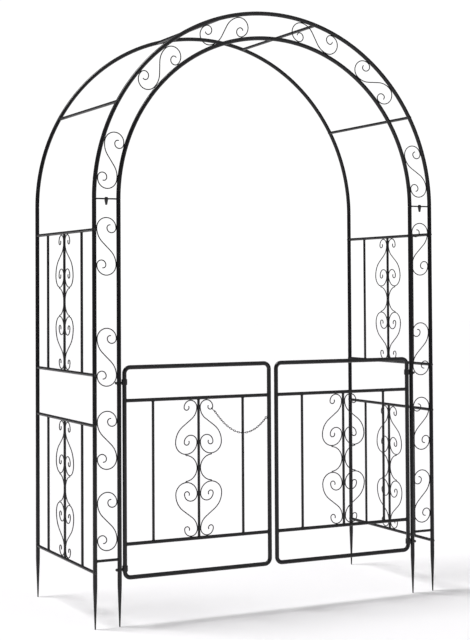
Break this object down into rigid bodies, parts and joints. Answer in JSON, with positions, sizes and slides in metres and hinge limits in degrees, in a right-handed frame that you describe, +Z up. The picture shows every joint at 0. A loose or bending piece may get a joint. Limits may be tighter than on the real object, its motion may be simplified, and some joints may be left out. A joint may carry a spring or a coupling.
{
  "type": "garden trellis arch",
  "caption": "Black metal garden arch with round-topped front and rear frames, scrolled side panels, ground spikes and a pair of swing gates held by a latch chain",
  "frame": {"origin": "on the ground plane at the spike tips, below the middle of the arch", "axes": "+X across the walkway, +Y from the gates to the back, +Z up"},
  "size_m": [1.472, 0.649, 2.286],
  "materials": {
    "powder_coat": "satin black powder coat",
    "bare_fixings": "black coated wire"
  },
  "bodies": {
    "frame": {"cone_nuts": "powder_coat", "cross_bar_screws": "powder_coat", "front_ground_spikes": "powder_coat", "hinge_eyes": "powder_coat", "hinge_nuts": "powder_coat", "joint_bolts": "powder_coat", "left_arch_scrolls": "powder_coat", "left_crown_bar": "powder_coat", "left_foot_bar": "powder_coat", "left_front_inner_arch": "powder_coat", "left_front_inner_post": "powder_coat", "left_front_outer_arch": "powder_coat", "left_front_outer_post": "powder_coat", "left_leg_scrolls": "powder_coat", "left_lower_panel_bars": "powder_coat", "left_lower_panel_rails": "powder_coat", "left_lower_panel_scrollwork": "powder_coat", "left_rear_arch": "powder_coat", "left_rear_post": "powder_coat", "left_shoulder_bar": "powder_coat", "left_upper_panel_bars": "powder_coat", "left_upper_panel_rails": "powder_coat", "left_upper_panel_scrollwork": "powder_coat", "lower_joint_straps": "powder_coat", "panel_screws": "powder_coat", "rear_ground_spikes": "powder_coat", "right_arch_scrolls": "powder_coat", "right_crown_bar": "powder_coat", "right_foot_bar": "powder_coat", "right_front_inner_arch": "powder_coat", "right_front_inner_post": "powder_coat", "right_front_outer_arch": "powder_coat", "right_front_outer_post": "powder_coat", "right_leg_scrolls": "powder_coat", "right_lower_panel_bars": "powder_coat", "right_lower_panel_rails": "powder_coat", "right_lower_panel_scrollwork": "powder_coat", "right_rear_arch": "powder_coat", "right_rear_post": "powder_coat", "right_shoulder_bar": "powder_coat", "right_upper_panel_bars": "powder_coat", "right_upper_panel_rails": "powder_coat", "right_upper_panel_scrollwork": "powder_coat", "upper_joint_straps": "powder_coat"},
    "left_gate": {"left_gate_frame": "powder_coat", "left_gate_rails": "powder_coat", "left_gate_bars": "powder_coat", "left_gate_centre_bar": "powder_coat", "left_gate_scrollwork": "powder_coat", "left_gate_collars": "powder_coat", "latch_eye": "bare_fixings", "latch_hook": "bare_fixings", "latch_chain": "bare_fixings"},
    "right_gate": {"right_gate_frame": "powder_coat", "right_gate_rails": "powder_coat", "right_gate_bars": "powder_coat", "right_gate_centre_bar": "powder_coat", "right_gate_scrollwork": "powder_coat", "right_gate_collars": "powder_coat"}
  },
  "joints": [
    {"name": "left_gate_hinge", "type": "hinge", "parent": "frame", "child": "left_gate", "pos_m": [-0.612, -0.3125, 0.5425], "axis": [0, 0, 1], "range_deg": [-110, 90]},
    {"name": "right_gate_hinge", "type": "hinge", "parent": "frame", "child": "right_gate", "pos_m": [0.612, -0.3125, 0.5425], "axis": [0, 0, -1], "range_deg": [-110, 90]}
  ]
}
